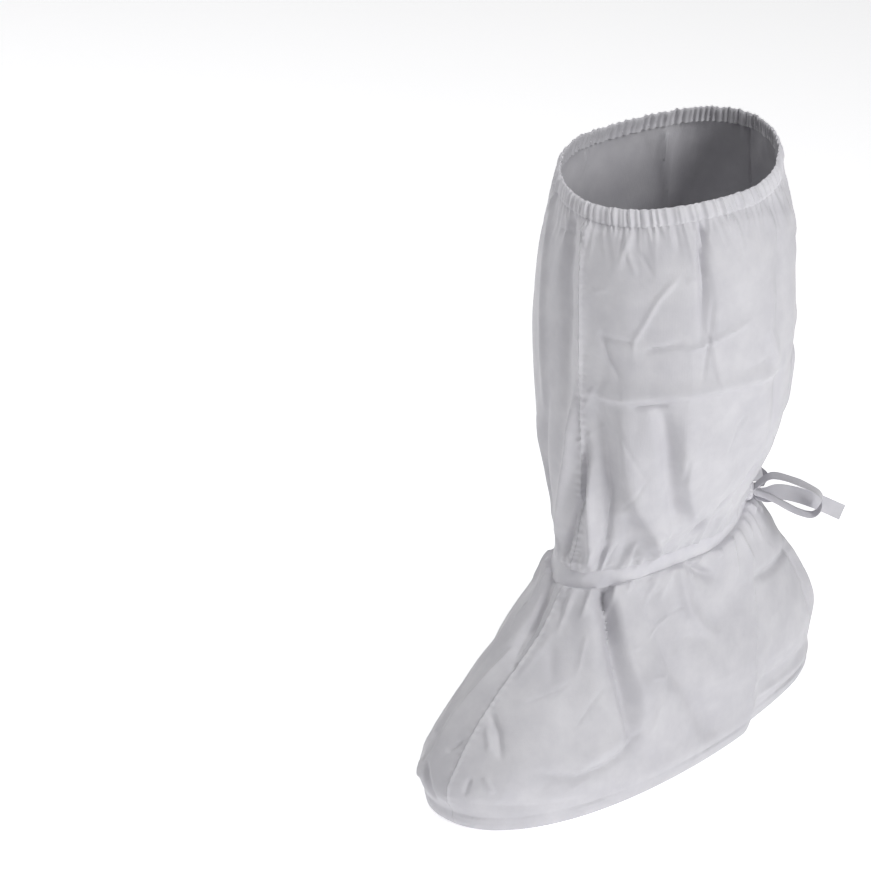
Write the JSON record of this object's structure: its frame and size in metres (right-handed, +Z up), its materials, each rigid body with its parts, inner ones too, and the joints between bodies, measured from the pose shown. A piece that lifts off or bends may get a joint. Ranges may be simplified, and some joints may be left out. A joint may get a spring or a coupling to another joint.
{
  "type": "boot cover",
  "caption": "High disposable boot cover with a wrapped-up sole, a seamed two-panel shaft, a gathered elastic hem and a tape tied in a bow round the ankle.",
  "frame": {"origin": "on the leg's axis, on the inside face of the sole, where the wearer's foot stands", "axes": "+Z up the leg towards the hem, the toe points along -Y, +X is the wearer's outer side"},
  "size_m": [0.198, 0.3827, 0.4851],
  "materials": {
    "sole_cloth": "coated nonwoven, matt, slightly pebbled for grip",
    "panel_cloth": "white nonwoven laminated with microporous film, soft sheen",
    "hem_cloth": "folded nonwoven casing gathered by elastic",
    "tie_tape": "folded nonwoven tape, matt"
  },
  "bodies": {
    "root": {"sole": "sole_cloth", "outer_panel": "panel_cloth", "inner_panel": "panel_cloth", "top_hem": "hem_cloth", "ankle_tie": "tie_tape", "tie_knot": "tie_tape", "bow_loop_outer": "tie_tape", "bow_loop_inner": "tie_tape", "tie_end_outer": "tie_tape", "tie_end_inner": "tie_tape"}
  },
  "joints": []
}
